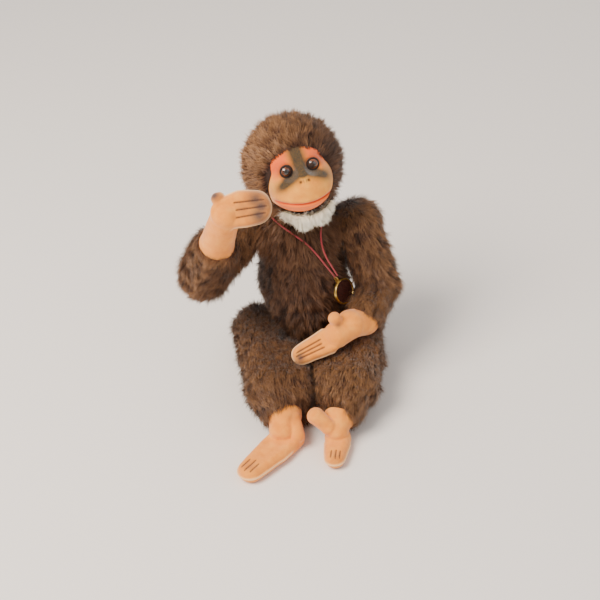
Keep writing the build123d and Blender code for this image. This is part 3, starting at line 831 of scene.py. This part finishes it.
# The right leg's low starting value darkens its pile, partly as painted shade.
limb("right", "arm", RIGHT_ARM, -0.5, 31, 43000, fade=0.3, hang=(-0.7, 0.0, -1.3))
limb("left", "arm", LEFT_ARM, 0.8, 33, 42000, fade=0.25)
limb("right", "leg", RIGHT_LEG, -2.0, 35, 45000, fade=0.1)
limb("left", "leg", LEFT_LEG, -2.0, 37, 45000, fade=0.4)


# ------------------------------------------------------------------ cream beard
# A tuft of dense cream mohair under the chin.
# The darker cream root is partly painted shade deep in the beard.
cream = mohair_dye_and_root_shade("cream_mohair", "#b3a784", "#e4dabb", "#f3ecd6", "#fdfaf0")
beard_strands = strand_set("beard_strand", 9.0 * MM, 0.36 * MM)
beard_tree = pile_tree(beard_strands)
beard_skin = soft_skin("beard_skin", ["beard"], 1.2 * MM, 4, 1.5 * MM)
beard_skin.data.materials.append(backing_and_shade)
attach(beard_skin, "head")
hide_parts("beard")


def beard_comb(place, normal):
    right, up, ahead = in_face(place)
    return across * (right * 0.012) + Vector((0, 0, -1)) + forward * 0.25


# Past 21 mm to the face's right the beard grows no pile, so the dark backing shows there as painted shade.
comb_skin(beard_skin, beard_comb, lambda p, n: 1.0 if in_face(p)[0] < 21 else 0.0, lambda p, n: 0.6)
beard_fur = pile(
    "beard_mohair", beard_skin, beard_tree, cream,
    seed=41, count=20000, lay=1.1, lock_size=5 * MM, stray=0.15,
)
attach(beard_fur, "head")


# ------------------------------------------------------------------ felt hands and feet
# Two layers of felt sewn round the edge, stuffed flat, with fingers and toes marked by stitches.
hand_felt = felt_material("pressed_limb_felt", ("#e08424", "#eb9230", "#f2a23e"), [
    ("seam", "#f6d3a0", 0.75), ("smudge", "#35343a", 0.95), ("line", "#4a2c22", 1.0),
], 0.5 * MM)
stitch_thread, tree, surface = material("grey_brown_stitch_thread")
surface.inputs["Base Color"].default_value = srgb("#3b2a26")
surface.inputs["Roughness"].default_value = 0.7


def stitch_mesh():
    """One stitch: a short fat thread end to end along X."""
    ball = bmesh.new()
    bmesh.ops.create_uvsphere(ball, u_segments=8, v_segments=6, radius=1.0)
    bmesh.ops.scale(ball, vec=(0.95 * MM, 0.32 * MM, 0.28 * MM), verts=ball.verts)
    mesh = bpy.data.meshes.new("stitch")
    ball.to_mesh(mesh)
    ball.free()
    mesh.shade_smooth()
    return bpy.data.objects.new("stitch", mesh)


def stitch_tree():
    """Geometry Nodes that lay stitches end to end along curves."""
    tree = bpy.data.node_groups.new("stitches", "GeometryNodeTree")
    face = tree.interface
    face.new_socket("Lines", in_out="INPUT", socket_type="NodeSocketGeometry")
    face.new_socket("Stitch", in_out="INPUT", socket_type="NodeSocketObject")
    face.new_socket("Spacing", in_out="INPUT", socket_type="NodeSocketFloat")
    face.new_socket("Thread", in_out="INPUT", socket_type="NodeSocketMaterial")
    face.new_socket("Stitches", in_out="OUTPUT", socket_type="NodeSocketGeometry")
    given = add(tree, "NodeGroupInput").outputs
    spaced = add(tree, "GeometryNodeResampleCurve", {
        "Curve": given["Lines"], "Length": given["Spacing"],
    }, mode="LENGTH")
    along = add(tree, "GeometryNodeInputTangent").outputs[0]
    turned = add(tree, "FunctionNodeAlignRotationToVector", {"Vector": along}, axis="X").outputs[0]
    one = add(tree, "GeometryNodeObjectInfo", {"Object": given["Stitch"]}).outputs["Geometry"]
    laid = add(tree, "GeometryNodeInstanceOnPoints", {
        "Points": spaced.outputs[0], "Instance": one, "Rotation": turned,
    })
    real = add(tree, "GeometryNodeRealizeInstances", {0: laid.outputs[0]})
    coloured = add(tree, "GeometryNodeSetMaterial", {
        "Geometry": real.outputs[0], "Material": given["Thread"],
    })
    add(tree, "NodeGroupOutput", {0: coloured.outputs[0]})
    return tree


one_stitch = stitch_mesh()
sewing = stitch_tree()


def sew(name, lines, spacing, body):
    """Stitches along lines of points in metres, as one mesh."""
    curve = bpy.data.curves.new(name, "CURVE")
    curve.dimensions = "3D"
    for line in lines:
        spline = curve.splines.new("POLY")
        spline.points.add(len(line) - 1)
        for point, place in zip(spline.points, line):
            point.co = (*place, 1.0)
    worker = bpy.data.objects.new(name, curve)
    bpy.context.collection.objects.link(worker)
    grow = worker.modifiers.new("sew", "NODES")
    grow.node_group = sewing
    settings = {"Stitch": one_stitch, "Spacing": spacing, "Thread": stitch_thread}
    for item in sewing.interface.items_tree:
        if item.name in settings:
            grow[item.identifier] = settings[item.name]
    sewn = bpy.data.meshes.new_from_object(worker.evaluated_get(bpy.context.evaluated_depsgraph_get()))
    bpy.data.objects.remove(worker)
    sewn.name = name
    made = bpy.data.objects.new(name, sewn)
    bpy.context.collection.objects.link(made)
    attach(made, body)
    return made


class Pad:
    """The flat part of a hand or foot: its own measures along, across and through."""

    def __init__(self, origin, along, through):
        self.origin = Vector(origin)
        self.z = Vector(through).normalized()
        x = Vector(along)
        self.x = (x - self.z * x.dot(self.z)).normalized()
        self.y = self.z.cross(self.x)

    def measure(self, place):
        offset = place - self.origin
        return offset.dot(self.x), offset.dot(self.y), offset.dot(self.z)

    def point(self, x, y, z=0.0):
        return self.origin + self.x * x + self.y * y + self.z * z


def felt_limb_end(side, kind, pad, lines, seam_from, smudges, depth=1.1):
    """A felt hand or foot: sewn edge, pressed finger lines with stitches, airbrushed shadows."""
    arm = "arm" if kind == "hand" else "leg"
    nodes = [f"{side}_{kind}_felt", f"{side}_{kind}_filling"]
    skin = soft_skin(f"{side}_{kind}", nodes, 0.75 * MM, 10, -0.3 * MM)
    mesh = skin.data
    masks = {"line": [], "seam": [], "smudge": []}
    moved = []
    for vertex in mesh.vertices:
        place, normal = vertex.co / MM, vertex.normal
        x, y, z = pad.measure(place)
        flat = clamp(abs(normal.dot(pad.z)) * 2.5 - 0.9)
        line = 0.0
        for across_line, start, stop, lean in lines:
            inside = clamp((x - start) / 2) * clamp((stop - x) / 2)
            line = max(line, bell(y - across_line - lean * (x - start), 0.85) * inside * flat)
        rim = clamp((x - seam_from) / 3) * clamp(1.4 - abs(normal.dot(pad.z)) * 2.2)
        seam = bell(z, 0.95) * rim * (1.0 if abs(z) < 5 else 0.0)
        smudge = max([0.0] + [
            strength * bell((place - Vector(spot)).length, spread) for spot, spread, strength in smudges
        ])
        lump = noise.noise(place * 0.09) * 0.5
        moved.append(vertex.co + normal * (1.5 * seam - depth * line + lump) * MM)
        masks["line"].append(0.8 * line)
        masks["seam"].append(clamp(1.4 * seam))
        masks["smudge"].append(clamp(smudge))
    for vertex, place in zip(mesh.vertices, moved):
        vertex.co = place
    for label, values in masks.items():
        mesh.attributes.new(label, "FLOAT", "POINT").data.foreach_set("value", values)
    mesh.materials.append(hand_felt)
    mesh.shade_smooth()
    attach(skin, f"{side}_{arm}")
    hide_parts(f"{side}_{kind}_felt")
    tree = BVHTree.FromPolygons([v.co for v in mesh.vertices], [f.vertices for f in mesh.polygons])
    rows = []
    for across_line, start, stop, lean in lines:
        for through in (1, -1):
            row = []
            for x in np.arange(start + 1, stop - 0.5, 0.8):
                above = pad.point(x, across_line + lean * (x - start), 9.0 * through) * MM
                hit = tree.ray_cast(above, pad.z * -through)
                if hit[0] is not None and abs(hit[1].dot(pad.z)) > 0.5:
                    row.append(hit[0])
            if len(row) > 2:
                rows.append(row)
    sew(f"{side}_{kind}_stitches", rows, 2.5 * MM, f"{side}_{arm}")


RIGHT_MITTEN = Pad((-66.0, -76.0, 231.0), (1.0, -0.05, 0.08), (0.0, -0.87, 0.5))
LEFT_MITTEN = Pad((20.0, -82.0, 76.0), (-0.94, -0.19, -0.33), (-0.1, -0.72, 0.68))
RIGHT_SOLE = Pad((-45.0, -160.0, 7.5), (-0.666, -0.746, 0.0), (0.0, 0.0, 1.0))
LEFT_SOLE = Pad((17.0, -163.0, 7.5), (-0.17, -0.985, 0.0), (0.0, 0.0, 1.0))
felt_limb_end(
    "right", "hand", RIGHT_MITTEN,
    lines=[(-6.5, 9, 38, 0.03), (0.5, 10, 40, 0.0), (7.5, 9, 38, -0.03)],
    seam_from=-4,
    smudges=[(RIGHT_MITTEN.point(31, -7, 4), 9.5, 1.0), (RIGHT_MITTEN.point(34, 1, 4), 9.5, 1.0),
             (RIGHT_MITTEN.point(30, 8, 4), 9, 0.95), (RIGHT_MITTEN.point(18, 1, 5), 8, 0.4),
             ((-74, -71, 247), 5.5, 1.0)],
)
felt_limb_end(
    "left", "hand", LEFT_MITTEN,
    lines=[(-4.2, 6, 35, 0.04), (0.2, 7, 37, 0.0), (4.6, 6, 35, -0.04)],
    seam_from=-2,
    smudges=[(LEFT_MITTEN.point(33, 3, 5), 5, 0.95), (LEFT_MITTEN.point(30, -3, 5), 3.5, 0.4),
             ((30, -81, 93), 3.5, 0.65)],
)
felt_limb_end(
    "right", "foot", RIGHT_SOLE,
    lines=[(-5.5, 26, 40, 0.0), (0.0, 24, 42, 0.0), (5.5, 26, 40, 0.0)],
    seam_from=-12,
    smudges=[((-66, -186, 14), 7, 0.25), ((-24, -140, 32), 5, 0.3)],
    depth=0.6,
)
felt_limb_end(
    "left", "foot", LEFT_SOLE,
    lines=[(-3.5, 12, 22, 0.0), (1.0, 11, 23, 0.0), (5.0, 12, 22, 0.0)],
    seam_from=-8,
    smudges=[((18, -156, 14), 4.5, 0.7), ((4, -153, 31), 2.6, 0.7), ((14, -184, 12), 5, 0.35)],
    depth=0.6,
)


# ------------------------------------------------------------------ medallion
# A worn brass ring round a dark enamel plate, hung on a small brass ring.
brass, tree, surface = material("worn_brass")
place = add(tree, "ShaderNodeTexCoord").outputs["Object"]
wear = add(tree, "ShaderNodeTexNoise", {"Vector": place, "Scale": 350.0, "Detail": 5.0}).outputs[0]
tarnish = ramp(tree, wear, [(0.3, "#a8813e"), (0.55, "#dcb766"), (0.75, "#f0d491")])
tree.links.new(tarnish.outputs[0], surface.inputs["Base Color"])
gloss = add(tree, "ShaderNodeMapRange", {"Value": wear, "To Min": 0.42, "To Max": 0.2}).outputs[0]
tree.links.new(gloss, surface.inputs["Roughness"])
surface.inputs["Metallic"].default_value = 1.0
enamel, tree, surface = material("dark_red_enamel")
place = add(tree, "ShaderNodeTexCoord").outputs["Object"]
crackle = add(tree, "ShaderNodeTexVoronoi", {
    "Vector": place, "Scale": 420.0,
}, feature="DISTANCE_TO_EDGE").outputs[0]
shade = ramp(tree, crackle, [(0.0, "#210e0b"), (0.1, "#3a1c18"), (1.0, "#45231d")])
tree.links.new(shade.outputs[0], surface.inputs["Base Color"])
surface.inputs["Roughness"].default_value = 0.25
surface.inputs["Coat Weight"].default_value = 0.6


def plain(name, colours, scale, roughness, metallic=0.0, stretch=(1, 1, 1)):
    """A simple material with one cloudy or fibrous pattern."""
    made, tree, surface = material(name)
    place = add(tree, "ShaderNodeTexCoord").outputs["Object"]
    place = add(tree, "ShaderNodeMapping", {"Vector": place, "Scale": stretch}).outputs[0]
    cloud = add(tree, "ShaderNodeTexNoise", {"Vector": place, "Scale": scale, "Detail": 6.0}).outputs[0]
    shade = ramp(tree, cloud, [(0.3, colours[0]), (0.7, colours[1])])
    tree.links.new(shade.outputs[0], surface.inputs["Base Color"])
    relief = add(tree, "ShaderNodeBump", {"Height": cloud, "Strength": 0.4, "Distance": 0.4 * MM})
    tree.links.new(relief.outputs["Normal"], surface.inputs["Normal"])
    surface.inputs["Roughness"].default_value = roughness
    surface.inputs["Metallic"].default_value = metallic
    return made


# Hidden pieces keep their CAD shapes: wood wool, fibre board discs, steel pins and washers.
wood_wool = plain("wood_wool", ("#a98a55", "#d8bd86"), 500.0, 0.9, stretch=(1, 6, 1))
board = plain("pressed_fibre_board", ("#6d4c33", "#8d6847"), 700.0, 0.85)
steel = plain("plain_steel", ("#8a8c8e", "#b4b6b8"), 300.0, 0.35, metallic=1.0)
finishes = (
    ("stuffing", wood_wool), ("filling", wood_wool), ("disc", board), ("washer", steel), ("split_pin", steel),
    ("eye_shank", steel), ("jump_ring", brass), ("medallion_rim", brass), ("medallion_inlay", enamel),
)
for node_name, node in frame["nodes"].items():
    for ending, finish in finishes:
        if node_name.endswith(ending):
            for slot_used in node.material_slots:
                slot_used.material = finish
